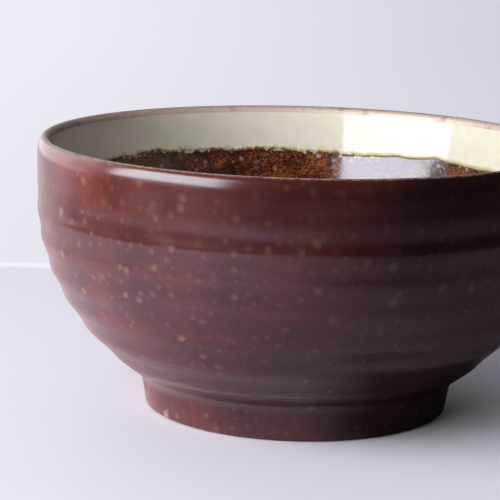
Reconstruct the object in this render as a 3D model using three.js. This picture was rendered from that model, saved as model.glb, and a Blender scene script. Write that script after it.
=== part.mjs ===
// A thrown stoneware salad bowl: a clay bowl on a luted foot ring, under five coats of glaze.
// Millimetres, +Z up. The origin is on the table, at the middle of the foot.
import * as THREE from "three";

// Finished sizes, measured over the glaze
const RIM_DIAMETER = 200;
const HEIGHT = 103;
const RIM_BAND = 23; // from the lip's top down to where the belly starts to curve in
const RIM_FLARE = 1; // the outside wall leans out by this over that band
const LIP_THICKNESS = 5;
const INSIDE_LEAN = 8; // degrees that the inside wall leans out at the lip, so the wall thickens downwards
const INSIDE_UPPER_PULL = 30; // the inside wall holds on to its direction over these two lengths,
const INSIDE_LOWER_PULL = 30; // below the lip and above the well
const BASE_WALL = 9; // where the belly has turned under the bowl
const WELL_RISE = 9; // that place, measured up the outside from the foot's corner
const WELL_TIGHTNESS = 0.9; // near 1 the inside follows the wall almost to the floor's level
const FLOOR_FLAT_DIAMETER = 64; // middle of the floor that is close to level
const FOOT_DIAMETER = 120; // at the corner under the belly
const FOOT_HEIGHT = 13; // table to that corner
const FOOT_TAPER = 2.25; // the foot's side leans in by this over its height
const FOOT_FILLET = 2.6; // the fillet in the corner reaches this far along the belly and the foot

// Clay under the glaze
const FLOOR_THICKNESS = 8;
const FOOT_RING_WIDTH = 8; // across the ring's base
const FOOT_RING_SPREAD = 2; // the ring is this much wider where it joins the bowl
const FOOT_JOINT_DROP = 1.4; // the ring joins the bowl this far below the fillet
const FOOT_CHAMFER = 1; // on the two lower edges of the ring

// Glaze coats
const GLAZE_THICKNESS = 0.6;
const SEAT_GAP = 0.2; // between a coat and the clay under it, and between two coats that meet
const LIP_COAT_INSIDE_LEG = 1; // the lip's coat goes on this far below the lip's rounding
const LIP_COAT_OUTSIDE_LEG = 0.2;
const CREAM_BAND = 17; // down the inside wall, from the lip's rounding to the middle of the wavy edge
const BARE_FOOT = 1.4; // clay left bare above the table, outside the ring
const BARE_RECESS = 3.5; // and inside it

// The wavy edge where the cream glaze stopped running: waves round the bowl, each with its rise
const EDGE_WAVES = [
  { turns: 2, rise: 0.7, start: 0.6 },
  { turns: 5, rise: 0.5, start: 2.1 },
  { turns: 9, rise: 0.5, start: 4.0 },
];

// Throwing rings left by the fingers on the outside
const RING_PITCH = 11.35;
const RING_DEPTH = 0.9; // ridge to groove on the belly
const LOWEST_RING_RISE = 7; // the lowest ridge stands this far above the foot's corner
const RING_LEAN = 0.72; // under 1 the groove lies close above its ridge
const RING_FADE_HEIGHT = 50; // above this the rings grow fainter, up to the lip

// Fineness of the facets
const FACETS_ROUND = 44;
const RING_ROWS = [0, 0.38, 0.7]; // shares of the pitch: ridge, groove and the long slope
const LEAST_ROW = 1; // rows of the outside wall keep this far from its two ends
const ROW_SPACING = 7; // rows on the inside wall
const LIP_STEPS = 6;
const FLOOR_STEPS = 5;
const FILLET_STEPS = 3;

// Worked out from the sizes above
const COAT = GLAZE_THICKNESS + SEAT_GAP;
const RIM_RADIUS = RIM_DIAMETER / 2;
const BELLY_RADIUS = RIM_RADIUS - RIM_FLARE;
const BELLY_TOP = HEIGHT - RIM_BAND;
const LIP_ROUNDING = LIP_THICKNESS / 2;
const LIP_CENTRE = new THREE.Vector2(RIM_RADIUS - LIP_ROUNDING, HEIGHT - LIP_ROUNDING);
const LIP_TURN = Math.PI - THREE.MathUtils.degToRad(INSIDE_LEAN);
const FOOT_TOP_RADIUS = FOOT_DIAMETER / 2;
const FOOT_BASE_RADIUS = FOOT_TOP_RADIUS - FOOT_TAPER;
const FOOT_SLOPE = FOOT_TAPER / FOOT_HEIGHT;
const FOOT_RING_HEIGHT = FOOT_HEIGHT - FOOT_FILLET - FOOT_JOINT_DROP;
const FLOOR_TOP = FOOT_RING_HEIGHT + FLOOR_THICKNESS + COAT; // finished floor inside
const LOWEST_RING_HEIGHT = FOOT_HEIGHT + LOWEST_RING_RISE;
const OUTER_GLAZE_TOP = LIP_CENTRE.y - LIP_COAT_OUTSIDE_LEG - SEAT_GAP;
const CREAM_START = LIP_COAT_INSIDE_LEG + SEAT_GAP; // down the inside wall from the lip's rounding

// The outside wall below BELLY_TOP is part of an ellipse through the corner at the top of the foot.
const BELLY_DROP = (BELLY_TOP - FOOT_HEIGHT) / Math.sqrt(1 - (FOOT_TOP_RADIUS / BELLY_RADIUS) ** 2);

// Radius of the plain outside wall at a height, and how fast it widens there.
function outsideWall(height) {
  if (height > BELLY_TOP) {
    const band = LIP_CENTRE.y - BELLY_TOP;
    const up = (height - BELLY_TOP) / band;
    const radius = BELLY_RADIUS + RIM_FLARE * up ** 2 * (3 - 2 * up);
    return { radius, slope: (RIM_FLARE * 6 * up * (1 - up)) / band };
  }
  const below = (BELLY_TOP - height) / BELLY_DROP;
  const share = Math.sqrt(1 - below ** 2);
  return { radius: BELLY_RADIUS * share, slope: (BELLY_RADIUS * below) / (BELLY_DROP * share) };
}

// The direction that points out of the outside wall at a height.
function outward(height) {
  return new THREE.Vector2(1, -outsideWall(height).slope).normalize();
}

// How far the throwing rings stand out of the outside wall, or into it, at a height.
function ringRelief(height) {
  const { smoothstep, euclideanModulo } = THREE.MathUtils;
  const phase = euclideanModulo((height - LOWEST_RING_HEIGHT) / RING_PITCH, 1);
  const fadeIn = smoothstep(height, FOOT_HEIGHT, LOWEST_RING_HEIGHT);
  const fadeOut = 1 - smoothstep(height, RING_FADE_HEIGHT, LIP_CENTRE.y);
  return (RING_DEPTH / 2) * Math.cos(2 * Math.PI * phase ** RING_LEAN) * fadeIn * fadeOut;
}

// A point of the outside wall, at a depth under the finished face.
function outsidePoint(height, depth) {
  const plain = new THREE.Vector2(outsideWall(height).radius, height);
  return plain.addScaledVector(outward(height), ringRelief(height) - depth);
}

// The rounding of the lip, from outside to inside, at a depth under the finished face.
function lipCurve(depth) {
  const radius = LIP_ROUNDING - depth;
  return new THREE.EllipseCurve(LIP_CENTRE.x, LIP_CENTRE.y, radius, radius, 0, LIP_TURN);
}

// The inside of the bowl on the finished face: the wall from the lip to the well, then the floor.
const WELL_HEIGHT = FOOT_HEIGHT + WELL_RISE;
const WELL_EDGE = new THREE.Vector2(outsideWall(WELL_HEIGHT).radius, WELL_HEIGHT)
  .addScaledVector(outward(WELL_HEIGHT), -BASE_WALL);
const DOWN_AT_LIP = new THREE.Vector2(Math.cos(LIP_TURN + Math.PI / 2), Math.sin(LIP_TURN + Math.PI / 2));
const DOWN_AT_WELL = new THREE.Vector2(-outsideWall(WELL_HEIGHT).slope, -1); // for each millimetre down
const INSIDE_WALL = new THREE.CubicBezierCurve(
  lipCurve(0).getPoint(1),
  lipCurve(0).getPoint(1).addScaledVector(DOWN_AT_LIP, INSIDE_UPPER_PULL),
  WELL_EDGE.clone().addScaledVector(DOWN_AT_WELL.clone().normalize(), -INSIDE_LOWER_PULL),
  WELL_EDGE,
);
const FLOOR = new THREE.CubicBezierCurve(
  WELL_EDGE,
  WELL_EDGE.clone().addScaledVector(DOWN_AT_WELL, (WELL_EDGE.y - FLOOR_TOP) * WELL_TIGHTNESS),
  new THREE.Vector2(FLOOR_FLAT_DIAMETER / 2, FLOOR_TOP),
  new THREE.Vector2(0, FLOOR_TOP),
);

// A point at a share of one of these curves, at a depth under the finished face.
function underCurve(curve, share, depth) {
  const tangent = curve.getTangentAt(share);
  const intoClay = new THREE.Vector2(-tangent.y, tangent.x);
  return curve.getPointAt(share).addScaledVector(intoClay, depth);
}

// A point of the inside wall, at a distance down it from the lip's rounding.
function insidePoint(distance, depth) {
  return underCurve(INSIDE_WALL, distance / INSIDE_WALL.getLength(), depth);
}

// Points from the well's edge to the axis.
function floorPoints(depth) {
  return Array.from({ length: FLOOR_STEPS + 1 }, (_, step) => {
    const point = underCurve(FLOOR, step / FLOOR_STEPS, depth);
    if (step === FLOOR_STEPS) point.x = 0;
    return point;
  });
}

// Radius of the foot's outer side at a height, at a depth under the finished face.
function footRadius(height, depth) {
  return FOOT_BASE_RADIUS + FOOT_SLOPE * height - depth * Math.hypot(1, FOOT_SLOPE);
}

// The fillet between the foot and the belly, from the foot up, at a depth under the finished face.
function filletPoints(depth) {
  const belly = outward(FOOT_HEIGHT);
  const side = new THREE.Vector2(1, -FOOT_SLOPE).normalize();
  const mitre = belly.clone().add(side).divideScalar(1 + belly.dot(side));
  const corner = new THREE.Vector2(FOOT_TOP_RADIUS, FOOT_HEIGHT).addScaledVector(mitre, -depth);
  const upFoot = new THREE.Vector2(-side.y, side.x);
  const upBelly = new THREE.Vector2(-belly.y, belly.x);
  const fillet = new THREE.QuadraticBezierCurve(
    corner.clone().addScaledVector(upFoot, -FOOT_FILLET),
    corner,
    corner.clone().addScaledVector(upBelly, FOOT_FILLET),
  );
  return fillet.getPoints(FILLET_STEPS);
}

// Radius of the foot ring's inner side at a height, at a distance in from the clay.
function recessRadius(height, distance) {
  const base = footRadius(0, COAT) - FOOT_RING_WIDTH;
  const top = footRadius(FOOT_RING_HEIGHT, COAT) - FOOT_RING_WIDTH - FOOT_RING_SPREAD;
  const lean = (top - base) / FOOT_RING_HEIGHT;
  return base + lean * height - distance * Math.hypot(1, lean);
}

// Rows up the outside wall, from the fillet to the lip, on the rings' ridges, grooves and slopes.
function outsideHeights() {
  const lowest = filletPoints(COAT).at(-1).y + LEAST_ROW;
  const highest = OUTER_GLAZE_TOP - LEAST_ROW;
  const heights = [(FOOT_HEIGHT + LOWEST_RING_HEIGHT) / 2];
  for (let ridge = LOWEST_RING_HEIGHT; ridge < highest; ridge += RING_PITCH) {
    heights.push(...RING_ROWS.map((share) => ridge + share * RING_PITCH));
  }
  return heights.filter((height) => height > lowest && height < highest);
}

// How far down the inside wall the cream glaze ends, at a turn round the bowl.
function creamEdge(turn) {
  const wave = EDGE_WAVES.reduce(
    (sum, { turns, rise, start }) => sum + rise * Math.sin(turns * turn + start), 0,
  );
  return CREAM_BAND - wave;
}

// Rows down the inside wall that the cream glaze covers, at a turn round the bowl.
function creamRows(turn) {
  const rows = Math.max(1, Math.round((CREAM_BAND - CREAM_START) / ROW_SPACING));
  const edge = creamEdge(turn);
  return Array.from({ length: rows + 1 }, (_, row) => THREE.MathUtils.lerp(CREAM_START, edge, row / rows));
}

// Rows that the brown glaze covers, from the cream's edge to the last one above the well's edge.
function brownRows(turn) {
  const bottom = INSIDE_WALL.getLength();
  const rows = Math.max(1, Math.round((bottom - CREAM_BAND) / ROW_SPACING));
  const edge = creamEdge(turn) + SEAT_GAP;
  return Array.from({ length: rows }, (_, row) => THREE.MathUtils.lerp(edge, bottom, row / rows));
}

// Turns a profile round the upright axis. The profile may change with the angle.
function revolve(profileAt) {
  const rows = profileAt(0).length;
  const geometry = new THREE.LatheGeometry(profileAt(0), FACETS_ROUND);
  const position = geometry.getAttribute("position");
  for (let column = 0; column <= FACETS_ROUND; column += 1) {
    const turn = (2 * Math.PI * column) / FACETS_ROUND;
    profileAt(turn).forEach(({ x, y }, row) => {
      position.setXYZ(column * rows + row, x * Math.sin(turn), y, x * Math.cos(turn));
    });
  }
  return geometry.rotateX(Math.PI / 2);
}

// A ring's closed profile, drawn anticlockwise with the axis on the left.
function closed(points) {
  return [...points, points[0].clone()];
}

// A coat's closed profile between its face and the seat under it, both listed the same way.
function coat(face, seat) {
  return closed([...face, ...[...seat].reverse()]);
}

// The thrown bowl: floor, belly, rim and rounded lip in one piece of clay.
// Its facets have the rows of the coats that lie on them, so that the seat gap is even.
function clayBowl() {
  const fromUndersideToLip = [
    new THREE.Vector2(0, FOOT_RING_HEIGHT),
    new THREE.Vector2(footRadius(FOOT_RING_HEIGHT, COAT), FOOT_RING_HEIGHT),
    ...filletPoints(COAT),
    ...outsideHeights().map((height) => outsidePoint(height, COAT)),
    ...lipCurve(COAT).getPoints(LIP_STEPS),
  ];
  const floor = floorPoints(COAT);
  return revolve((turn) => {
    const rows = [...creamRows(turn), ...brownRows(turn).slice(1)];
    return [...fromUndersideToLip, ...rows.map((distance) => insidePoint(distance, COAT)), ...floor];
  });
}

// The foot: a ring of clay luted to the underside, with its lower edges chamfered.
function footRing() {
  const outer = (height) => footRadius(height, COAT);
  const inner = (height) => recessRadius(height, 0);
  const profile = closed([
    new THREE.Vector2(inner(0) + FOOT_CHAMFER, 0),
    new THREE.Vector2(outer(0) - FOOT_CHAMFER, 0),
    new THREE.Vector2(outer(FOOT_CHAMFER), FOOT_CHAMFER),
    new THREE.Vector2(outer(FOOT_RING_HEIGHT), FOOT_RING_HEIGHT),
    new THREE.Vector2(inner(FOOT_RING_HEIGHT), FOOT_RING_HEIGHT),
    new THREE.Vector2(inner(FOOT_CHAMFER), FOOT_CHAMFER),
  ]);
  return revolve(() => profile);
}

// Iron-red glaze from under the lip, over the rings, to just above the table.
function outerGlaze() {
  const surface = (depth) => [
    new THREE.Vector2(footRadius(BARE_FOOT, depth), BARE_FOOT),
    ...filletPoints(depth),
    ...outsideHeights().map((height) => outsidePoint(height, depth)),
    outsidePoint(OUTER_GLAZE_TOP, depth),
  ];
  const profile = coat(surface(0), surface(GLAZE_THICKNESS));
  return revolve(() => profile);
}

// The thin coat that breaks to tan where it runs off the lip.
function lipGlaze() {
  const surface = (depth) => [
    outsidePoint(LIP_CENTRE.y - LIP_COAT_OUTSIDE_LEG, depth),
    ...lipCurve(depth).getPoints(LIP_STEPS),
    insidePoint(LIP_COAT_INSIDE_LEG, depth),
  ];
  const profile = coat(surface(0), surface(GLAZE_THICKNESS));
  return revolve(() => profile);
}

// Cream glaze inside the rim, down to its wavy edge.
function creamGlaze() {
  return revolve((turn) => {
    const surface = (depth) => creamRows(turn).map((distance) => insidePoint(distance, depth));
    return coat(surface(0), surface(GLAZE_THICKNESS));
  });
}

// Brown glaze in the well, from the cream's edge to the middle of the floor.
function wellGlaze() {
  return revolve((turn) => {
    const surface = (depth) => [
      ...brownRows(turn).map((distance) => insidePoint(distance, depth)),
      ...floorPoints(depth),
    ];
    return [...surface(GLAZE_THICKNESS).reverse(), ...surface(0)];
  });
}

// Glaze under the floor and part of the way down inside the foot ring.
function recessGlaze() {
  const surface = (distance) => [
    new THREE.Vector2(0, FOOT_RING_HEIGHT - distance),
    new THREE.Vector2(recessRadius(FOOT_RING_HEIGHT - distance, distance), FOOT_RING_HEIGHT - distance),
    new THREE.Vector2(recessRadius(BARE_RECESS, distance), BARE_RECESS),
  ];
  const profile = [...surface(COAT), ...surface(SEAT_GAP).reverse()];
  return revolve(() => profile);
}

const clay = new THREE.MeshStandardMaterial({ color: "#8a6450", roughness: 0.85, metalness: 0 });
const ironGlaze = new THREE.MeshStandardMaterial({ color: "#4c2725", roughness: 0.38, metalness: 0 });
const thinGlaze = new THREE.MeshStandardMaterial({ color: "#8d7264", roughness: 0.4, metalness: 0 });
const creamFinish = new THREE.MeshStandardMaterial({ color: "#dcd7c2", roughness: 0.12, metalness: 0 });
const rustGlaze = new THREE.MeshStandardMaterial({ color: "#5c2c16", roughness: 0.14, metalness: 0 });

const bowl = new THREE.Group();
function add(name, geometry, material) {
  const mesh = new THREE.Mesh(geometry, material);
  mesh.name = name;
  bowl.add(mesh);
}

add("clay_bowl", clayBowl(), clay);
add("foot_ring", footRing(), clay);
add("outer_glaze", outerGlaze(), ironGlaze);
add("lip_glaze", lipGlaze(), thinGlaze);
add("cream_glaze", creamGlaze(), creamFinish);
add("well_glaze", wellGlaze(), rustGlaze);
add("recess_glaze", recessGlaze(), ironGlaze);

export default bowl;
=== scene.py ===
import math

import bpy
import numpy as np
from mathutils import Matrix, Vector
from mathutils.geometry import interpolate_bezier


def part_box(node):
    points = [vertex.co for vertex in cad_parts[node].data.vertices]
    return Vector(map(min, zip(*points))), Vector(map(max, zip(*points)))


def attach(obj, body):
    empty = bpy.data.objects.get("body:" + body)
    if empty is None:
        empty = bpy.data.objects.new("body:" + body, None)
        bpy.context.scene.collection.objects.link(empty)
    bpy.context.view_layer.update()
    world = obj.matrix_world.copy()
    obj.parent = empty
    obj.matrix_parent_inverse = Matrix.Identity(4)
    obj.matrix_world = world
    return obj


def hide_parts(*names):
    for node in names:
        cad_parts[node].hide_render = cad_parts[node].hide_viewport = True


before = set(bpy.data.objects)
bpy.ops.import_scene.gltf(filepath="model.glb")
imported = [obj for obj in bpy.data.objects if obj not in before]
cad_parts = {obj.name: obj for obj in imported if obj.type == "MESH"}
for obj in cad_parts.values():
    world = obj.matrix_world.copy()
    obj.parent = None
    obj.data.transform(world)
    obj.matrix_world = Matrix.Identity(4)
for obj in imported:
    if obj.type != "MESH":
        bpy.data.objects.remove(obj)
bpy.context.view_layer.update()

# A thrown stoneware salad bowl. Its sizes here are in millimetres, and become metres when a piece is drawn.
MM = 0.001
WELD = 0.002 * MM
SMOOTH_ANGLE = math.radians(45)   # edges sharper than this stay sharp

# The bowl's form, measured over the glaze
RIM_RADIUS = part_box("lip_glaze")[1].x / MM
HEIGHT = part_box("lip_glaze")[1].z / MM
RIM_BAND = 23                     # from the lip's top down to where the belly starts to curve in
RIM_FLARE = 0.3
LIP_ROUNDING = 2.5                # half the lip's thickness
LIP_SHOULDER = 6                  # the lip rounds off over this height on the outside
LIP_MEETING = math.radians(68)    # how far up that shoulder the outer coat ends and the lip's coat starts
INSIDE_LEAN = math.radians(8)
INSIDE_PULL = 30                  # the inside wall holds on to its direction over this length at both ends
BASE_WALL = 9
WELL_RISE = 9
WELL_TIGHTNESS = 0.9              # near 1 the inside follows the wall almost to the floor's level
FLOOR_FLAT_RADIUS = 32
FOOT_TOP_RADIUS = 60
FOOT_HEIGHT = 13
FOOT_TAPER = 2.25
FOOT_FILLET = 4                   # the glaze fills the corner over the foot, this far down the foot
BELLY_FILLET = 7                  # and this far up the belly
FOOT_RING_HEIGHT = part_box("foot_ring")[1].z / MM
FOOT_RING_WIDTH = 8
FOOT_RING_SPREAD = 2              # it is this much wider at its top
FOOT_ROUNDING = 1
FLOOR_TOP = FOOT_RING_HEIGHT + 8.8

# Throwing rings, and the softer swell that the fingers left
RING_PITCH = 11.35
RING_HEIGHT = 0.3                 # of a ridge over the plain wall
LOWEST_RING = FOOT_HEIGHT + 7
RING_LEAN = 0.8                   # under 1 a groove lies nearer to the ridge below it
RING_FADE = 62                    # above this the rings grow fainter
SWELL = 0.4
SWELL_SIZE = 14
SWELL_STRETCH = 4                 # the swell is this much longer round the bowl than up it
SWELL_LOWEST = FOOT_HEIGHT + 2
SWELL_FULL = FOOT_HEIGHT + 8
SWELL_FADE = HEIGHT - 12
SWELL_END = HEIGHT - 3

# Coats of glaze
GLAZE = 0.6                       # thickness of a coat
COAT = 0.8                        # a coat and the gap under it
LIP_INSIDE_LEG = 0.4
CREAM_BAND = 17
EDGE_WAVES = [(2, 0.7, 0.6), (5, 0.5, 2.1), (9, 0.5, 4.0), (23, 0.3, 1.0), (37, 0.18, 2.7), (61, 0.12, 0.4)]
EDGE_SHIFT_REACH = 9              # the rows this near to the cream's edge move with its waves
BEAD_HEIGHT = 0.28                # the cream ends in a rolled bead
BEAD_WIDTH = 1.1
BARE_FOOT = 0.8
BARE_RECESS = 3.5

# Fineness of the turned pieces
TURN_STEPS = 384                  # facets round the glazed faces
CLAY_STEPS = 192                  # and round the clay under them
ROW = 1.25                        # between two rows of a glazed face
SEAT_ROW = 6                      # of the hidden seat under it
CLAY_ROW = 2                      # of the clay outside
CLAY_INSIDE_ROW = 3
EDGE_ZONE = 4                     # this near to the edge between cream and rust the rows lie closer
CREAM_EDGE_ROW = 0.25             # on the cream's side
RUST_EDGE_ROW = 0.5               # and on the rust's
FACE_TURNS = 14                   # steps round a fillet or a shoulder on a glazed face
SEAT_TURNS = 5
LIP_TURNS = 24
LIP_SEAT_TURNS = 8
CLAY_LIP_TURNS = 12
FOOT_ROUNDING_STEPS = 4
WALL_POINTS = 400
FLOOR_POINTS = 300

# Worked out from the sizes above
BELLY_RADIUS = RIM_RADIUS - RIM_FLARE
BELLY_TOP = HEIGHT - RIM_BAND
BELLY_DROP = (BELLY_TOP - FOOT_HEIGHT) / math.sqrt(1 - (FOOT_TOP_RADIUS / BELLY_RADIUS) ** 2)
LIP_CENTRE = Vector((RIM_RADIUS - LIP_ROUNDING, HEIGHT - LIP_ROUNDING))
LIP_TURN = math.pi - INSIDE_LEAN
SHOULDER_FOOT = HEIGHT - LIP_SHOULDER
FOOT_SLOPE = FOOT_TAPER / FOOT_HEIGHT


def smoothstep(value, low, high):
    share = min(max((value - low) / (high - low), 0), 1)
    return share * share * (3 - 2 * share)


def spread(start, end, spacing):
    """Evenly spaced values from start to end, both included."""
    return np.linspace(start, end, max(2, round(abs(end - start) / spacing) + 1))


def outside_wall(height):
    """Radius of the plain outside wall, and the direction out of it."""
    if height > BELLY_TOP:
        band = SHOULDER_FOOT - BELLY_TOP
        up = (height - BELLY_TOP) / band
        radius = BELLY_RADIUS + RIM_FLARE * smoothstep(up, 0, 1)
        slope = RIM_FLARE * 6 * up * (1 - up) / band
    else:
        below = (BELLY_TOP - height) / BELLY_DROP
        share = math.sqrt(1 - below ** 2)
        radius = BELLY_RADIUS * share
        slope = BELLY_RADIUS * below / (BELLY_DROP * share)
    return radius, Vector((1, -slope)).normalized()


def ridge_at(height):
    """1 on a throwing ring's ridge, -1 in its groove, and less where the rings fade out."""
    phase = ((height - LOWEST_RING) / RING_PITCH) % 1
    fade = smoothstep(height, FOOT_HEIGHT, LOWEST_RING) * (1 - smoothstep(height, RING_FADE, SHOULDER_FOOT))
    return math.cos(2 * math.pi * phase ** RING_LEAN) * fade


def outside_point(height, depth):
    radius, out = outside_wall(height)
    return Vector((radius, height)) + out * (RING_HEIGHT * ridge_at(height) - depth)


def lip_points(depth, start, end, steps):
    """Over the lip from the outside, where it slopes off gently, to the inside, where it is round."""
    points = []
    for turn in np.linspace(start, end, steps + 1):
        rise = LIP_SHOULDER if turn < math.pi / 2 else LIP_ROUNDING
        across = math.cos(turn) * (LIP_ROUNDING - depth)
        up = math.sin(turn) * (rise - depth)
        points.append(Vector((LIP_CENTRE.x + across, HEIGHT - rise + up)))
    return points


def foot_point(height, depth):
    base = FOOT_TOP_RADIUS - FOOT_TAPER
    return Vector((base + FOOT_SLOPE * height - depth * math.hypot(1, FOOT_SLOPE), height))


def fillet_points(depth, steps):
    """The fillet where the belly turns into the foot, from the foot up."""
    side = Vector((1, -FOOT_SLOPE)).normalized()
    belly = outside_wall(FOOT_HEIGHT)[1]
    corner = Vector((FOOT_TOP_RADIUS, FOOT_HEIGHT)) - (belly + side) / (1 + belly.dot(side)) * depth
    foot_end = corner - Vector((-side.y, side.x)) * FOOT_FILLET
    belly_end = corner + Vector((-belly.y, belly.x)) * BELLY_FILLET
    foot_pull = foot_end.lerp(corner, 2 / 3)
    belly_pull = belly_end.lerp(corner, 2 / 3)
    return interpolate_bezier(foot_end, foot_pull, belly_pull, belly_end, steps)


def recess_point(height, distance):
    """The foot ring's inner side, at a distance in from the clay."""
    base = foot_point(0, COAT).x - FOOT_RING_WIDTH
    top = foot_point(FOOT_RING_HEIGHT, COAT).x - FOOT_RING_WIDTH - FOOT_RING_SPREAD
    lean = (top - base) / FOOT_RING_HEIGHT
    return Vector((base + lean * height - distance * math.hypot(1, lean), height))


FILLET_TOP = fillet_points(0, 2)[-1].y

# The inside as one curve, from the lip's rounding down the wall and over the floor to the axis
well_radius, well_out = outside_wall(FOOT_HEIGHT + WELL_RISE)
WELL_EDGE = Vector((well_radius, FOOT_HEIGHT + WELL_RISE)) - well_out * BASE_WALL
WELL_DOWN = Vector((well_out.y, -well_out.x))
LIP_END = lip_points(0, 0, LIP_TURN, 1)[-1]
LIP_DOWN = Vector((-math.sin(INSIDE_LEAN), -math.cos(INSIDE_LEAN)))
FLOOR_DROP = (WELL_EDGE.y - FLOOR_TOP) / -WELL_DOWN.y
wall_curve = interpolate_bezier(LIP_END, LIP_END + LIP_DOWN * INSIDE_PULL,
                                WELL_EDGE - WELL_DOWN * INSIDE_PULL, WELL_EDGE, WALL_POINTS)
floor_curve = interpolate_bezier(WELL_EDGE, WELL_EDGE + WELL_DOWN * FLOOR_DROP * WELL_TIGHTNESS,
                                 Vector((FLOOR_FLAT_RADIUS, FLOOR_TOP)), Vector((0, FLOOR_TOP)), FLOOR_POINTS)
INSIDE = np.array([tuple(point) for point in wall_curve + floor_curve[1:]])
INSIDE_RUN = np.concatenate([[0], np.cumsum(np.hypot(*np.diff(INSIDE, axis=0).T))])
INSIDE_END = INSIDE_RUN[-1]
INSIDE_OUT = np.gradient(INSIDE, INSIDE_RUN, axis=0) @ np.array([[0, 1], [-1, 0]])


def inside_points(runs, depths):
    """Points at distances down the inside from the lip's rounding, at depths under the finished face."""
    columns = []
    for face, out in zip(INSIDE.T, INSIDE_OUT.T):
        columns.append(np.interp(runs, INSIDE_RUN, face) + depths * np.interp(runs, INSIDE_RUN, out))
    return np.stack(columns, axis=1)


def pick(piece, wanted):
    """Leaves the piece in edit mode with only the edges selected whose two ends are both wanted."""
    bpy.ops.object.mode_set(mode="EDIT")
    bpy.ops.mesh.select_mode(type="EDGE")
    bpy.ops.mesh.select_all(action="DESELECT")
    bpy.ops.object.mode_set(mode="OBJECT")
    for edge in piece.data.edges:
        edge.select = all(wanted(piece.data.vertices[end].co) for end in edge.vertices)
    bpy.ops.object.mode_set(mode="EDIT")


def turn_outline(name, outline, steps, **row_values):
    """Draws an outline by extruding one vertex from row to row, and spins it round the bowl's axis.
    Each row value is kept as an attribute of the finished mesh."""
    bpy.ops.object.select_all(action="DESELECT")
    bpy.ops.mesh.primitive_plane_add(size=1, enter_editmode=True)
    bpy.ops.mesh.select_mode(type="VERT")
    bpy.ops.mesh.merge(type="CENTER")
    rows = [Vector((row[0], 0, row[1])) * MM for row in outline]
    bpy.ops.transform.translate(value=rows[0])
    for here, there in zip(rows, rows[1:]):
        bpy.ops.mesh.extrude_region_move(TRANSFORM_OT_translate={"value": there - here})
    bpy.ops.object.mode_set(mode="OBJECT")
    piece = bpy.context.object
    piece.name = piece.data.name = name
    drawn = np.array([tuple(vertex.co.xz) for vertex in piece.data.vertices]) / MM
    row_places = np.array([tuple(row) for row in outline])
    row_of = np.argmin(np.linalg.norm(drawn[:, None] - row_places[None], axis=2), axis=1)
    for value_name, values in row_values.items():
        kept = piece.data.attributes.new(value_name, "FLOAT", "POINT")
        kept.data.foreach_set("value", np.asarray(values, dtype=float)[row_of])
    bpy.ops.object.mode_set(mode="EDIT")
    bpy.ops.mesh.select_all(action="SELECT")
    bpy.ops.mesh.remove_doubles(threshold=WELD)
    bpy.ops.mesh.spin(steps=steps, angle=2 * math.pi, center=(0, 0, 0), axis=(0, 0, 1))
    bpy.ops.mesh.select_all(action="SELECT")
    bpy.ops.mesh.remove_doubles(threshold=WELD)
    bpy.ops.mesh.normals_make_consistent(inside=False)
    bpy.ops.object.mode_set(mode="OBJECT")
    bpy.ops.object.shade_smooth_by_angle(angle=SMOOTH_ANGLE)
    return piece


def ring_of(face, seat):
    """The closed outline of a coat between its face and the seat under it."""
    return [*face, *reversed(seat), face[0]]


# Iron-red coat from just above the table, over the foot and the throwing rings, to the lip's shoulder
def outside_rows(depth, spacing, turns):
    fillet = fillet_points(depth, turns)
    foot = [foot_point(height, depth) for height in spread(BARE_FOOT, fillet[0].y, spacing)[:-1]]
    belly = [outside_point(height, depth) for height in spread(FILLET_TOP, SHOULDER_FOOT, spacing)[1:-1]]
    return [*foot, *fillet, *belly, *lip_points(depth, 0, LIP_MEETING, turns)]


def swell_by_fingers(coat):
    """Makes the coat's free face a little uneven, away from the foot and the lip."""
    free = coat.vertex_groups.new(name="free_face")
    for vertex in coat.data.vertices:
        height = vertex.co.z / MM
        if height <= SWELL_LOWEST:
            continue
        if vertex.co.xy.length / MM > outside_point(height, GLAZE / 2).x:
            fade = 1 - smoothstep(height, SWELL_FADE, SWELL_END)
            free.add([vertex.index], smoothstep(height, FOOT_HEIGHT, SWELL_FULL) * fade, "REPLACE")
    bpy.ops.object.empty_add()
    finger = bpy.context.object
    finger.scale = (SWELL_STRETCH, SWELL_STRETCH, 1)
    clouds = bpy.data.textures.new("finger_swell", "CLOUDS")
    clouds.noise_scale, clouds.noise_depth, clouds.noise_basis = SWELL_SIZE * MM, 1, "IMPROVED_PERLIN"
    bpy.context.view_layer.objects.active = coat
    uneven = coat.modifiers.new("finger_swell", "DISPLACE")
    uneven.texture, uneven.texture_coords, uneven.texture_coords_object = clouds, "OBJECT", finger
    uneven.strength, uneven.vertex_group = SWELL * MM, free.name
    bpy.ops.object.modifier_apply(modifier=uneven.name)
    bpy.data.objects.remove(finger)


outer_outline = ring_of(outside_rows(0, ROW, FACE_TURNS), outside_rows(GLAZE, SEAT_ROW, SEAT_TURNS))
outer_coat = turn_outline("iron_red_outer_coat", outer_outline, TURN_STEPS,
                          ridge=[ridge_at(row.y) for row in outer_outline])
swell_by_fingers(outer_coat)


# Thin coat over the lip
def lip_rows(depth, turns):
    inside_end = inside_points(np.array([LIP_INSIDE_LEG]), depth)[0]
    return [*lip_points(depth, LIP_MEETING, LIP_TURN, turns), Vector(inside_end)]


lip_outline = ring_of(lip_rows(0, LIP_TURNS), lip_rows(GLAZE, LIP_SEAT_TURNS))
lip_coat = turn_outline("thin_lip_coat", lip_outline, TURN_STEPS,
                        inward=[(RIM_RADIUS - row.x) / (2 * LIP_ROUNDING) for row in lip_outline])


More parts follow.
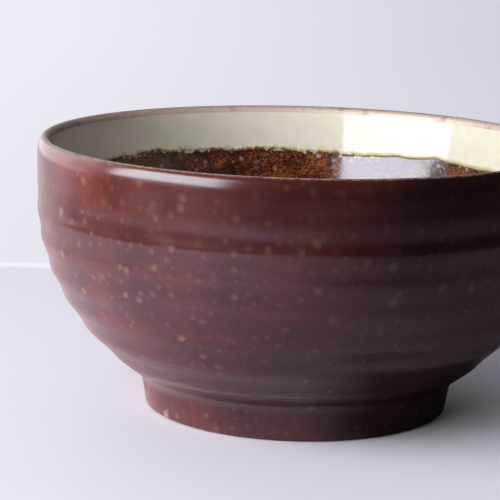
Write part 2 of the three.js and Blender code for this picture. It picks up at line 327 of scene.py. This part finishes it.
# Cream coat inside the rim and rust coat in the well, which meet at a wavy edge
def slide_to_edge(piece):
    """Slides the rows near the cream's edge along the wall, so that the edge waves round the bowl."""
    mesh = piece.data
    count = len(mesh.vertices)
    places, runs, depths = np.empty(count * 3), np.empty(count), np.empty(count)
    mesh.vertices.foreach_get("co", places)
    mesh.attributes["run"].data.foreach_get("value", runs)
    mesh.attributes["depth"].data.foreach_get("value", depths)
    places = places.reshape(-1, 3)
    turns = np.arctan2(places[:, 0], -places[:, 1])
    wave = sum(rise * np.sin(waves_round * turns + start) for waves_round, rise, start in EDGE_WAVES)
    near = np.clip(1 - np.abs(runs - CREAM_BAND) / EDGE_SHIFT_REACH, 0, 1)
    slid = inside_points(runs - wave * near * near * (3 - 2 * near), depths) * MM
    places[:, 0] = slid[:, 0] * np.sin(turns)
    places[:, 1] = -slid[:, 0] * np.cos(turns)
    places[:, 2] = slid[:, 1]
    mesh.vertices.foreach_set("co", places.ravel())
    mesh.update()


def inside_coat(name, face_runs, face_depths, on_axis):
    seat_runs = spread(face_runs[0], face_runs[-1], SEAT_ROW)
    runs = np.concatenate([face_runs, seat_runs[::-1]])
    depths = np.concatenate([face_depths, np.full(len(seat_runs), GLAZE)])
    if not on_axis:
        runs, depths = np.append(runs, runs[0]), np.append(depths, depths[0])
    outline = inside_points(runs, depths)
    if on_axis:
        outline[len(face_runs) - 1:len(face_runs) + 1, 0] = 0
        order = np.roll(np.arange(len(runs)), -len(face_runs))
        outline, runs, depths = outline[order], runs[order], depths[order]
    piece = turn_outline(name, outline, TURN_STEPS, run=runs, depth=depths, below_edge=runs - CREAM_BAND)
    slide_to_edge(piece)
    return piece


cream_runs = np.concatenate([spread(LIP_INSIDE_LEG, CREAM_BAND - EDGE_ZONE, ROW)[:-1],
                             spread(CREAM_BAND - EDGE_ZONE, CREAM_BAND, CREAM_EDGE_ROW)])
bead = -BEAD_HEIGHT * np.exp(-((CREAM_BAND - BEAD_WIDTH - cream_runs) / (BEAD_WIDTH / 2)) ** 2)
bead[-1] = 0
cream_coat = inside_coat("cream_band_coat", cream_runs, bead, False)
well_runs = np.concatenate([spread(CREAM_BAND, CREAM_BAND + EDGE_ZONE, RUST_EDGE_ROW)[:-1],
                            spread(CREAM_BAND + EDGE_ZONE, INSIDE_END, ROW)])
well_coat = inside_coat("rust_well_coat", well_runs, np.zeros(len(well_runs)), True)

# The thrown clay under the coats
clay_rows = [Vector((0, FOOT_RING_HEIGHT)), foot_point(FOOT_RING_HEIGHT, COAT)]
clay_rows += fillet_points(COAT, SEAT_TURNS)
clay_rows += [outside_point(height, COAT) for height in spread(FILLET_TOP, SHOULDER_FOOT, CLAY_ROW)[1:]]
clay_rows += lip_points(COAT, 0, LIP_TURN, CLAY_LIP_TURNS)[1:]
clay_rows += [Vector(point) for point in inside_points(spread(0, INSIDE_END, CLAY_INSIDE_ROW), COAT)[1:]]
clay_rows[-1].x = 0
clay_body = turn_outline("thrown_clay_body", clay_rows, CLAY_STEPS)

# The foot ring luted to it, with the two edges that it stands on rounded
ring_rows = [recess_point(0, 0), foot_point(0, COAT),
             foot_point(FOOT_RING_HEIGHT, COAT), recess_point(FOOT_RING_HEIGHT, 0)]
foot_ring = turn_outline("turned_foot_ring", [*ring_rows, ring_rows[0]], TURN_STEPS)
pick(foot_ring, lambda place: place.z < FOOT_ROUNDING * MM)
bpy.ops.mesh.region_to_loop()
bpy.ops.mesh.bevel(offset=FOOT_ROUNDING * MM, segments=FOOT_ROUNDING_STEPS, profile=0.5)
bpy.ops.object.mode_set(mode="OBJECT")
bpy.ops.object.shade_smooth_by_angle(angle=SMOOTH_ANGLE)


# The coat in the foot's recess
def recess_rows(distance):
    top = FOOT_RING_HEIGHT - distance
    return [Vector((0, top)), recess_point(top, distance), recess_point(BARE_RECESS, distance)]


recess_outline = [*recess_rows(COAT), *reversed(recess_rows(COAT - GLAZE))]
recess_coat = turn_outline("recess_coat", recess_outline, TURN_STEPS)


# Finishes
def add(tree, kind, inputs=None, stops=(), **settings):
    """Adds a node. Inputs are given by name or number, as values or as the sockets that feed them. Map Range
    takes the value, the two ends that it comes from and the two that it goes to as 0 to 4, and Mix takes the
    share as 0 and the colours at none and at full as 6 and 7. Stops are a ramp's positions and colours."""
    made = tree.nodes.new("ShaderNode" + kind)
    for setting, value in settings.items():
        setattr(made, setting, value)
    for socket, value in (inputs or {}).items():
        if isinstance(value, bpy.types.NodeSocket):
            tree.links.new(value, made.inputs[socket])
        else:
            made.inputs[socket].default_value = value
    for number, (position, colour) in enumerate(stops):
        elements = made.color_ramp.elements
        stop = elements[number] if number < 2 else elements.new(position)
        stop.position, stop.color = position, linear(colour)
    return made


def linear(hex_colour):
    """An sRGB hex colour as linear values, with full alpha."""
    parts = [int(hex_colour[start:start + 2], 16) / 255 for start in (1, 3, 5)]
    return *[part / 12.92 if part <= 0.04045 else ((part + 0.055) / 1.055) ** 2.4 for part in parts], 1


def per(size):
    """The texture scale at which a pattern repeats over this many millimetres."""
    return 1 / (size * MM)


def start_material(name, **surface):
    """A new material, its nodes and its main shader, which takes the values given."""
    made = bpy.data.materials.new(name)
    made.use_nodes = True
    shader = made.node_tree.nodes["Principled BSDF"]
    for socket, value in surface.items():
        shader.inputs[socket.replace("_", " ")].default_value = value
    return made, made.node_tree, shader


def scattered_spots(tree, place, size, radius, core, fade, rarity, most):
    """Round spots of crystal in cells of one size, full over their core and fading from there to the radius.
    Cells under the rarity stay empty, and the strongest spot covers as much as most says."""
    cells = add(tree, "TexVoronoi", {"Vector": place, "Scale": per(size)})
    chance = add(tree, "SeparateColor", {0: cells.outputs["Color"]}).outputs[0]
    rim = radius / size
    spot = add(tree, "MapRange", {0: cells.outputs["Distance"], 1: rim, 2: rim * core, 3: 0, 4: 1},
               interpolation_type=fade).outputs[0]
    strength = add(tree, "MapRange", {0: chance, 1: rarity, 2: 1, 3: 0, 4: most}).outputs[0]
    return add(tree, "Math", {0: spot, 1: strength}, operation="MULTIPLY").outputs[0]


# Iron-red stoneware glaze, dipped and reduction fired, glossy
def iron_red_colour(tree, place):
    """A little redder where it runs thin over the ridges, and darker where it pools in the grooves.
    Tan crystals break through it as soft round specks, fewer of them near the lip."""
    ridge = add(tree, "Attribute", attribute_name="ridge").outputs["Fac"]
    drift = add(tree, "TexNoise", {"Vector": place, "Scale": per(30), "Detail": 3}).outputs["Fac"]
    thin = add(tree, "Math", {0: ridge, 1: 0.06, 2: drift}, operation="MULTIPLY_ADD").outputs[0]
    colour = add(tree, "ValToRGB", {"Fac": thin},
                 stops=[(0.3, "#3d1a18"), (0.5, "#4d211d"), (0.75, "#5e2c24")]).outputs["Color"]
    scatter = add(tree, "Mapping", {0: place, 1: (0.021, 0.013, 0.006)}).outputs[0]
    height = add(tree, "SeparateXYZ", {0: place}).outputs[2]
    fewer = add(tree, "MapRange", {0: height, 1: 0.068, 2: 0.088, 3: 1, 4: 0.45}).outputs[0]
    for size, radius, tan, most, rarity in [
        (2.4, 1.1, "#6f5a4b", 0.3, 0.3),
        (3.7, 1.7, "#7e6755", 0.45, 0.4),
        (5.6, 2.1, "#937258", 0.5, 0.5),
        (9, 2.7, "#a9876a", 0.65, 0.55),
    ]:
        speck = scattered_spots(tree, scatter, size, radius, 0, "SMOOTHSTEP", rarity, most)
        speck = add(tree, "Math", {0: speck, 1: fewer}, operation="MULTIPLY").outputs[0]
        colour = add(tree, "Mix", {0: speck, 6: colour, 7: linear(tan)}, data_type="RGBA").outputs[2]
    return colour


def iron_red_glaze():
    made, tree, shader = start_material("iron_red_glaze", IOR=1.8, Specular_Tint=linear("#f5f0ff"))
    place = add(tree, "TexCoord").outputs["Object"]
    tree.links.new(iron_red_colour(tree, place), shader.inputs["Base Color"])
    cloudy = add(tree, "TexNoise", {"Vector": place, "Scale": per(14), "Detail": 2}).outputs["Fac"]
    dull = add(tree, "MapRange", {0: cloudy, 1: 0.3, 2: 0.7, 3: 0.17, 4: 0.26}).outputs[0]
    tree.links.new(dull, shader.inputs["Roughness"])
    # Lines that the turning tool left, plainer just above the foot. Real ones are about half a millimetre
    # apart, and these are drawn coarser, so that they show.
    stretched = add(tree, "Mapping", {0: place, 3: (0.06, 0.06, 1)}).outputs[0]
    lines = add(tree, "TexNoise", {"Vector": stretched, "Scale": per(1.4), "Detail": 1}).outputs["Fac"]
    height = add(tree, "SeparateXYZ", {0: place}).outputs[2]
    low = add(tree, "MapRange", {0: height, 1: 0.022, 2: 0.05, 3: 0.55, 4: 0.08}).outputs[0]
    bump = add(tree, "Bump", {"Height": lines, "Strength": low, "Distance": 0.3 * MM})
    tree.links.new(bump.outputs[0], shader.inputs["Normal"])
    return made


# The same glaze, drawn thin over the lip by its own weight
def thin_lip_glaze():
    """Still red-brown on the shoulder outside, and worn thin to the tan of the clay on the inside,
    with a few rusty spots where it beads."""
    made, tree, shader = start_material("thin_lip_glaze", IOR=1.75)
    place = add(tree, "TexCoord").outputs["Object"]
    inward = add(tree, "Attribute", attribute_name="inward").outputs["Fac"]
    patches = add(tree, "TexNoise", {"Vector": place, "Scale": per(1.6), "Detail": 4}).outputs["Fac"]
    thin = add(tree, "Math", {0: patches, 1: 0.6, 2: inward}, operation="MULTIPLY_ADD").outputs[0]
    thin = add(tree, "Math", {0: thin, 1: 1.6}, operation="DIVIDE").outputs[0]
    worn = add(tree, "ValToRGB", {"Fac": thin},
               stops=[(0.36, "#6e5247"), (0.54, "#927b6d"), (0.8, "#c0ada0")]).outputs["Color"]
    beads = add(tree, "TexNoise", {"Vector": place, "Scale": per(7), "Detail": 2}).outputs["Fac"]
    rusty = add(tree, "MapRange", {0: beads, 1: 0.62, 2: 0.72, 3: 0, 4: 0.55}).outputs[0]
    worn = add(tree, "Mix", {0: rusty, 6: worn, 7: linear("#93583a")}, data_type="RGBA").outputs[2]
    bare = add(tree, "MapRange", {0: thin, 1: 0.33, 2: 0.43}).outputs[0]
    red = iron_red_colour(tree, place)
    colour = add(tree, "Mix", {0: bare, 6: red, 7: worn}, data_type="RGBA").outputs[2]
    tree.links.new(colour, shader.inputs["Base Color"])
    dull = add(tree, "MapRange", {0: inward, 1: 0.3, 2: 0.7, 3: 0.18, 4: 0.5}).outputs[0]
    tree.links.new(dull, shader.inputs["Roughness"])
    return made


# The line where the two glazes inside meet
def glaze_meeting(tree, place):
    """Millimetres below that line, which crystals make ragged, and which is calm on the right."""
    below = add(tree, "Attribute", attribute_name="below_edge").outputs["Fac"]
    across = add(tree, "SeparateXYZ", {0: place}).outputs[0]
    teeth = add(tree, "TexNoise", {"Vector": place, "Scale": per(2.2), "Detail": 3}).outputs["Fac"]
    teeth = add(tree, "Math", {0: teeth, 1: 0.5}, operation="SUBTRACT").outputs[0]
    ragged = add(tree, "MapRange", {0: across, 1: 0.02, 2: 0.035, 3: 5.5, 4: 0.7}).outputs[0]
    return add(tree, "Math", {0: teeth, 1: ragged, 2: below}, operation="MULTIPLY_ADD").outputs[0]


# Cream celadon glaze, poured and glossy
def cream_glaze():
    """Cloudy, and warmer and then dark olive along the bead where it meets the rust."""
    made, tree, shader = start_material("cream_celadon_glaze", IOR=1.45, Roughness=0.08)
    place = add(tree, "TexCoord").outputs["Object"]
    front = glaze_meeting(tree, place)
    drift = add(tree, "TexNoise", {"Vector": place, "Scale": per(5), "Detail": 6, "Roughness": 0.65})
    cream = add(tree, "Mix", {0: drift.outputs["Fac"], 6: linear("#e0dcd0"), 7: linear("#ccc7b6")},
                data_type="RGBA").outputs[2]
    for start, end, most, colour in [(-2.2, -0.8, 1, "#b9ab83"), (-0.6, -0.2, 0.8, "#3b2a14")]:
        share = add(tree, "MapRange", {0: front, 1: start, 2: end, 3: 0, 4: most}).outputs[0]
        cream = add(tree, "Mix", {0: share, 6: cream, 7: linear(colour)}, data_type="RGBA").outputs[2]
    tree.links.new(cream, shader.inputs["Base Color"])
    return made


# Rust crystalline glaze, poured into the well
def rust_crystals(tree, place, bent, across, below):
    """How full of fine crystals the glaze is: less on the left, darker there as painted shade, and least in a
    run of thick, glassy glaze where the line between the glazes is calm."""
    back = add(tree, "SeparateXYZ", {0: place}).outputs[1]
    crystals = add(tree, "TexVoronoi", {"Vector": bent, "Scale": per(0.55)}).outputs["Color"]
    crystals = add(tree, "SeparateColor", {0: crystals}).outputs[0]
    pools = add(tree, "TexNoise", {"Vector": place, "Scale": per(7), "Detail": 3}).outputs["Fac"]
    # Fewer crystals towards the left leave the glaze darker there: painted shade
    shade_on_left = add(tree, "MapRange", {0: across, 1: -0.05, 2: 0.02, 3: -0.09, 4: 0.09}).outputs[0]
    pools = add(tree, "Math", {0: pools, 1: shade_on_left}).outputs[0]
    glassy = 1
    for source, none, full in [
        (across, 0.014, 0.021),
        (across, 0.063, 0.055),
        (back, 0, 0.03),
        (below, 28, 12),
    ]:
        share = add(tree, "MapRange", {0: source, 1: none, 2: full}).outputs[0]
        glassy = add(tree, "Math", {0: share, 1: glassy}, operation="MULTIPLY").outputs[0]
    pools = add(tree, "Math", {0: glassy, 1: -0.42, 2: pools}, operation="MULTIPLY_ADD").outputs[0]
    return add(tree, "Math", {0: crystals, 1: 0.5, 2: pools}, operation="MULTIPLY_ADD").outputs[0]


def rust_glaze():
    """Dark where crystals are few, and rusty where there are many. Pale flecks float in it near the cream,
    which spills over it in places."""
    made, tree, shader = start_material("rust_crystalline_glaze", IOR=1.82, Specular_Tint=linear("#f4f2ff"))
    place = add(tree, "TexCoord").outputs["Object"]
    across = add(tree, "SeparateXYZ", {0: place}).outputs[0]
    below = add(tree, "Attribute", attribute_name="below_edge").outputs["Fac"]
    front = glaze_meeting(tree, place)
    warp = add(tree, "TexNoise", {"Vector": place, "Scale": per(1.2), "Detail": 2}).outputs["Color"]
    warp = add(tree, "VectorMath", {0: warp, 1: (0.5, 0.5, 0.5)}, operation="SUBTRACT").outputs[0]
    most_bend = (1.2 * MM,) * 3
    bent = add(tree, "VectorMath", {0: warp, 1: most_bend, 2: place}, operation="MULTIPLY_ADD").outputs[0]
    grain = rust_crystals(tree, place, bent, across, below)
    stops = [(0.5, "#2a1208"), (0.72, "#4c200c"), (0.92, "#6e3614"), (1, "#8d5028")]
    colour = add(tree, "ValToRGB", {"Fac": grain}, stops=stops).outputs["Color"]
    edge = add(tree, "MapRange", {0: front, 1: 0.2, 2: 1.6, 3: 0.5, 4: 0}).outputs[0]
    colour = add(tree, "Mix", {0: edge, 6: colour, 7: linear("#1f0f0a")}, data_type="RGBA").outputs[2]
    for size, radius, pale, low, high in [(2.6, 0.8, "#b86c42", 6, 40), (3.6, 1.35, "#b3a5a0", 3, 11)]:
        fleck = scattered_spots(tree, bent, size, radius, 0.3, "LINEAR", 0.45, 0.8)
        reach = add(tree, "MapRange", {0: below, 1: low, 2: high, 3: 1, 4: 0}).outputs[0]
        fleck = add(tree, "Math", {0: fleck, 1: reach}, operation="MULTIPLY").outputs[0]
        colour = add(tree, "Mix", {0: fleck, 6: colour, 7: linear(pale)}, data_type="RGBA").outputs[2]
    spill = add(tree, "MapRange", {0: front, 1: -0.25, 2: 0.05, 3: 1, 4: 0}).outputs[0]
    colour = add(tree, "Mix", {0: spill, 6: colour, 7: linear("#b9ab83")}, data_type="RGBA").outputs[2]
    tree.links.new(colour, shader.inputs["Base Color"])
    # Poured thin on the left, it is drier there
    dry = add(tree, "MapRange", {0: across, 1: -0.062, 2: -0.035, 3: 0.1, 4: 0.5}).outputs[0]
    tree.links.new(dry, shader.inputs["Specular IOR Level"])
    dull = add(tree, "MapRange", {0: grain, 1: 0.3, 2: 0.7, 3: 0.05, 4: 0.14}).outputs[0]
    tree.links.new(dull, shader.inputs["Roughness"])
    bump = add(tree, "Bump", {"Height": grain, "Strength": 0.12, "Distance": 0.05 * MM})
    tree.links.new(bump.outputs[0], shader.inputs["Normal"])
    return made


# Fired stoneware left bare where the bowl stands: matt, brown, with fine grog
def bare_clay():
    made, tree, shader = start_material("bare_stoneware_clay", IOR=1.5, Roughness=0.85)
    place = add(tree, "TexCoord").outputs["Object"]
    grog = add(tree, "TexNoise", {"Vector": place, "Scale": per(1.2), "Detail": 4}).outputs["Fac"]
    colour = add(tree, "Mix", {0: grog, 6: linear("#7a5442"), 7: linear("#a5826b")}, data_type="RGBA")
    tree.links.new(colour.outputs[2], shader.inputs["Base Color"])
    return made


iron_red, clay = iron_red_glaze(), bare_clay()
for piece, node, slot, finish in [
    (outer_coat, "outer_glaze", "iron_red_glaze", iron_red),
    (recess_coat, "recess_glaze", "iron_red_glaze", iron_red),
    (lip_coat, "lip_glaze", "thin_lip_glaze", thin_lip_glaze()),
    (cream_coat, "cream_glaze", "cream_glaze", cream_glaze()),
    (well_coat, "well_glaze", "rust_glaze", rust_glaze()),
    (clay_body, "clay_bowl", "stoneware_clay", clay),
    (foot_ring, "foot_ring", "stoneware_clay", clay),
]:
    piece.data.materials.append(finish)
    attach(piece, "root")
    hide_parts(node)

# The room round the bowl, in metres
TABLE_EDGE = 0.255                # the table's far edge, behind the bowl
TABLE_SIZE = Vector((7, 4, 0.02))
TABLE_ROUNDING = 0.003
ROUNDING_STEPS = 3
WALL_AWAY = 1.75
WALL_WIDTH = 8
WALL_HEIGHT = 3
GROUND = -0.03                    # the wall runs on under the table at this level
CEILING = 1.6
LAMP_AWAY = 1.5
WINDOW_AWAY = 1.05                # in front of the daylight lamps

bpy.ops.object.select_all(action="DESELECT")
bpy.ops.mesh.primitive_cube_add(size=1, location=(0, TABLE_EDGE - TABLE_SIZE.y / 2, -TABLE_SIZE.z / 2))
table = bpy.context.object
table.name = "table"
table.scale = TABLE_SIZE
bpy.ops.object.transform_apply(location=True, scale=True)
rounding = table.modifiers.new("edge", "BEVEL")
rounding.width, rounding.segments = TABLE_ROUNDING, ROUNDING_STEPS
bpy.ops.object.modifier_apply(modifier="edge")

bpy.ops.object.select_all(action="DESELECT")
bpy.ops.mesh.primitive_plane_add(size=WALL_WIDTH, location=(0, WALL_AWAY - WALL_WIDTH / 2, GROUND))
wall = bpy.context.object
wall.name = "wall"
bpy.ops.object.transform_apply(location=True)
pick(wall, lambda place: place.y > 0)
bpy.ops.mesh.extrude_region_move(TRANSFORM_OT_translate={"value": (0, 0, WALL_HEIGHT)})
bpy.ops.object.mode_set(mode="OBJECT")


# Pale painted table, matt
def pale_table():
    """The bowl's gloss shows a painted glow on it on the left and at the foot, and painted shade: dimmer to
    the right, and dark about an arm's length away in front and, as a painted shadow, beside the foot's right
    half. Painted shade on the right makes it throw less light on to the bowl from there. The camera sees a
    painted highlight, a bright line along its far edge, and haze far off."""
    made, tree, shader = start_material("pale_table", Roughness=0.6)
    place = add(tree, "TexCoord").outputs["Object"]
    path = add(tree, "LightPath").outputs
    share = {
        "to_camera": path["Is Camera Ray"],
        "to_gloss": path["Is Glossy Ray"],
        "to_matt": path["Is Diffuse Ray"],
    }
    # In the bowl's gloss the table shows pinker: a painted reflection colour
    paint = add(tree, "Mix", {0: share["to_gloss"], 6: linear("#e4e3ee"), 7: linear("#ecd4e4")},
                data_type="RGBA").outputs[2]
    tree.links.new(paint, shader.inputs["Base Color"])
    away = add(tree, "VectorMath", {0: place}, operation="LENGTH").outputs["Value"]
    split = add(tree, "SeparateXYZ", {0: place})
    across, back = split.outputs[0], split.outputs[1]
    # Masks for painted glow and painted shade in the bowl's gloss, painted shade on bounce light, painted
    # highlight
    for name, source, start, end, low, high in [
        ("beyond", away, 0.36, 0.45, 0, 1),
        ("in_front", back, 0.1, 0.22, 1, 0),
        ("right", across, -0.12, 0.12, 0, 0.74),
        ("near_foot", away, 0.08, 0.11, 0.9, 0),
        ("right_half", across, -0.02, 0.035, 0, 1),
        ("no_bounce", across, -0.12, 0.05, 0.3, 0.94),
        ("painted_glow_left", across, -0.16, -0.04, 1, 0),
        ("painted_glow_at_foot", away, 0.06, 0.067, 1, 0),
        ("foot_left", across, -0.06, 0.045, 0.9, 0),
        ("edge", back, TABLE_EDGE - 0.018, TABLE_EDGE - 0.012, 0, 1),
        ("far_off", away, 0.5, 1.1, 0, 1),
    ]:
        share[name] = add(tree, "MapRange", {0: source, 1: start, 2: end, 3: low, 4: high}).outputs[0]
    for name, first, operation, second in [
        ("beyond", "beyond", "MULTIPLY", "in_front"),
        ("painted_shade", "beyond", "MAXIMUM", "right"),
        ("shadow", "near_foot", "MULTIPLY", "right_half"),
        ("painted_shade", "painted_shade", "MAXIMUM", "shadow"),
        ("painted_shade", "painted_shade", "MULTIPLY", "to_gloss"),
        ("no_bounce", "no_bounce", "MULTIPLY", "to_matt"),
        ("painted_shade", "painted_shade", "ADD", "no_bounce"),
        ("painted_glow_at_foot", "painted_glow_at_foot", "MULTIPLY", "foot_left"),
        ("lit", "painted_glow_left", "MAXIMUM", "painted_glow_at_foot"),
        ("lit", "lit", "MULTIPLY", "to_gloss"),
        ("edge", "edge", "MULTIPLY", "to_camera"),
        ("far_off", "far_off", "MULTIPLY", "to_camera"),
    ]:
        share[name] = add(tree, "Math", {0: share[first], 1: share[second]}, operation=operation).outputs[0]
    surface = shader.outputs[0]
    # Over the lit table go the painted glow (lit), painted shade, the painted highlight (edge) and far haze
    for name, kind, colour in [
        ("lit", "Emission", "#ffeefa"),
        ("painted_shade", "BsdfDiffuse", "#2a292d"),
        ("edge", "Emission", "#f3f2f8"),
        ("far_off", "Emission", "#e6e4eb"),
    ]:
        over = add(tree, kind, {"Color": linear(colour)}).outputs[0]
        surface = add(tree, "MixShader", {0: share[name], 1: surface, 2: over}).outputs[0]
    tree.links.new(surface, tree.nodes["Material Output"].inputs["Surface"])
    return made


# Pale wall: a glow with painted shade a little darker to the right, and much darker there in the bowl's gloss
def pale_wall():
    made, tree, shader = start_material("pale_wall", Roughness=0.8, Base_Color=linear("#e6e4eb"))
    across = add(tree, "SeparateXYZ", {0: add(tree, "TexCoord").outputs["Object"]}).outputs[0]
    shade = add(tree, "MapRange", {0: across, 1: -0.3, 2: 0.3}).outputs[0]
    paint = add(tree, "Mix", {0: shade, 6: linear("#eeedf5"), 7: linear("#d1ceda")},
                data_type="RGBA").outputs[2]
    path = add(tree, "LightPath").outputs
    to_camera, to_gloss = path["Is Camera Ray"], path["Is Glossy Ray"]
    # Painted reflection: the bowl's gloss sees the wall glow on the left and hardly at all on the right
    left = add(tree, "MapRange", {0: across, 1: -0.3, 2: 0.3, 3: 1, 4: 0.06}).outputs[0]
    strength = add(tree, "Math", {0: to_camera, 1: left}, operation="MAXIMUM").outputs[0]
    glow = add(tree, "Emission", {"Color": paint, "Strength": strength}).outputs[0]
    seen = add(tree, "Math", {0: to_camera, 1: to_gloss}, operation="MAXIMUM").outputs[0]
    mixed = add(tree, "MixShader", {0: seen, 1: shader.outputs[0], 2: glow}).outputs[0]
    tree.links.new(mixed, tree.nodes["Material Output"].inputs["Surface"])
    return made


table.data.materials.append(pale_table())
wall.data.materials.append(pale_wall())

# The room is dim, and pale where the camera looks past the table and the wall
world = bpy.data.worlds.new("room")
bpy.context.scene.world = world
world.use_nodes = True
tree = world.node_tree
dim = tree.nodes["Background"]
dim.inputs["Color"].default_value, dim.inputs["Strength"].default_value = linear("#dcdde6"), 0.05
pale = add(tree, "Background", {"Color": linear("#e6e4eb"), "Strength": 1}).outputs[0]
to_camera = add(tree, "LightPath").outputs["Is Camera Ray"]
mixed = add(tree, "MixShader", {0: to_camera, 1: dim.outputs[0], 2: pale}).outputs[0]
tree.links.new(mixed, tree.nodes["World Output"].inputs["Surface"])

# Soft daylight from the left and the ceiling, and windows that only the bowl's gloss shows
lit = {}   # each lamp lights one of these groups
for group, members in [
    ("inside", (cream_coat, well_coat, lip_coat)),
    ("outside", (outer_coat, recess_coat, clay_body, foot_ring)),
    ("room", (table, wall)),
]:
    lit[group] = bpy.data.collections.new(group)
    for piece in members:
        lit[group].objects.link(piece)
for name, turn, width, height, sill, radiance, tint, group, in_gloss in [
    ("inside_daylight", 47, 1.93, 1.57, 0.1, 6.8, "#ffffff", "inside", False),
    ("table_daylight", 56, 1.93, 1.57, 0.1, 7.9, "#ffffff", "room", False),
    ("side_daylight", 88, 1.93, 1.57, 0.1, 14.6, "#ffffff", "outside", False),
    ("window", 50, 1.17, 0.75, 0.185, 8.5, "#ffffff", "inside", True),
    ("side_window", 58, 1.01, 0.75, 0.185, 7, "#ecfffc", "outside", True),
    ("back_window", 128, 1.2, 1.0, 0.0, 1, "#ffffff", "outside", True),
    ("ceiling", 0, 2.5, 2.5, None, 0.3, "#ffffff", "room", False),
]:
    light = bpy.data.lights.new(name, "AREA")
    light.shape, light.size, light.size_y = "RECTANGLE", width, height
    light.energy, light.color = radiance * math.pi * width * height, linear(tint)[:3]
    lamp = bpy.data.objects.new(name, light)
    bpy.context.scene.collection.objects.link(lamp)
    if sill is None:
        lamp.location = (0, 0, CEILING)
    else:
        turn = math.radians(turn)
        away = WINDOW_AWAY if in_gloss else LAMP_AWAY
        lamp.location = (-math.sin(turn) * away, -math.cos(turn) * away, sill + height / 2)
        lamp.rotation_euler = (math.radians(90), 0, -turn)
    lamp.visible_camera = False
    lamp.visible_diffuse, lamp.visible_glossy = not in_gloss, in_gloss
    lamp.light_linking.receiver_collection = lit[group]

# Camera at the photograph's viewing angle
CAMERA_PLACE = (0, -0.7896, 0.2135)   # in metres
CAMERA_LEFT = 1.365                   # turned this far, in degrees
CAMERA_DOWN = 11.062
CAMERA_TILT = 1.369
CAMERA_LENS = 151.1                   # focal length and sensor width in millimetres
CAMERA_SENSOR = 36
camera_data = bpy.data.cameras.new("camera")
camera_data.lens, camera_data.sensor_width = CAMERA_LENS, CAMERA_SENSOR
camera = bpy.data.objects.new("camera", camera_data)
bpy.context.scene.collection.objects.link(camera)
camera.matrix_world = (
    Matrix.Translation(CAMERA_PLACE)
    @ Matrix.Rotation(math.radians(CAMERA_LEFT), 4, "Z")
    @ Matrix.Rotation(math.radians(90 - CAMERA_DOWN), 4, "X")
    @ Matrix.Rotation(math.radians(CAMERA_TILT), 4, "Z")
)
bpy.context.scene.camera = camera
bpy.context.scene.view_settings.view_transform = "Standard"
